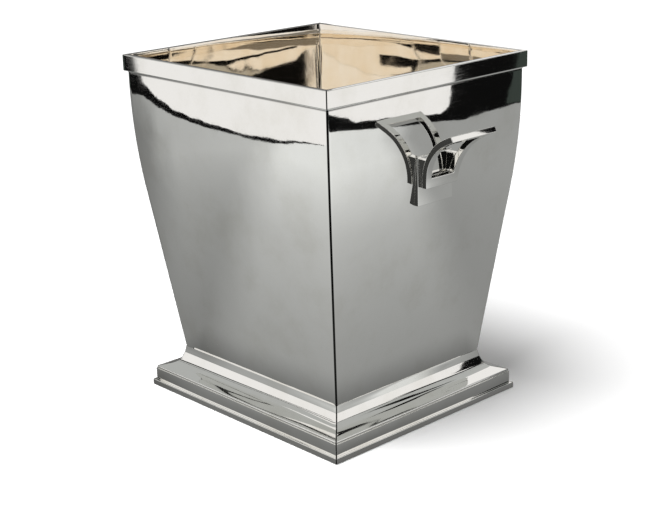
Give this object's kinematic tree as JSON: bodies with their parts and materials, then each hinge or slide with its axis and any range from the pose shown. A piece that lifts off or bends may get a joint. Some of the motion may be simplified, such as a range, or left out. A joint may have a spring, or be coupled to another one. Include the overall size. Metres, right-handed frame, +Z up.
{
  "type": "champagne bucket",
  "caption": "Square tapering polished silver champagne bucket with a banded rim, a stepped moulded foot and curved openwork lug handles on the narrower faces.",
  "frame": {"origin": "centre of the foot on the table, under the middle of the mouth", "axes": "+Z up through the mouth, +X toward one handle and -X toward the other, -Y is the front face"},
  "size_m": [0.264, 0.182, 0.24],
  "materials": {
    "silver_sheet": "polished silver plate, gilt wash on the inside face",
    "gilt_sheet": "polished gilt wash",
    "silver_mouldings": "polished silver plate",
    "silver_handles": "polished silver plate"
  },
  "bodies": {
    "root": {"wall_front": "silver_sheet", "wall_right": "silver_sheet", "wall_back": "silver_sheet", "wall_left": "silver_sheet", "floor_plate": "gilt_sheet", "rim_front": "silver_mouldings", "rim_right": "silver_mouldings", "rim_back": "silver_mouldings", "rim_left": "silver_mouldings", "moulding_front": "silver_mouldings", "moulding_right": "silver_mouldings", "moulding_back": "silver_mouldings", "moulding_left": "silver_mouldings", "plinth_front": "silver_mouldings", "plinth_right": "silver_mouldings", "plinth_back": "silver_mouldings", "plinth_left": "silver_mouldings", "handle_right_plate": "silver_handles", "handle_right_spacer": "silver_handles", "handle_right_strap": "silver_handles", "handle_left_plate": "silver_handles", "handle_left_spacer": "silver_handles", "handle_left_strap": "silver_handles"}
  },
  "joints": []
}
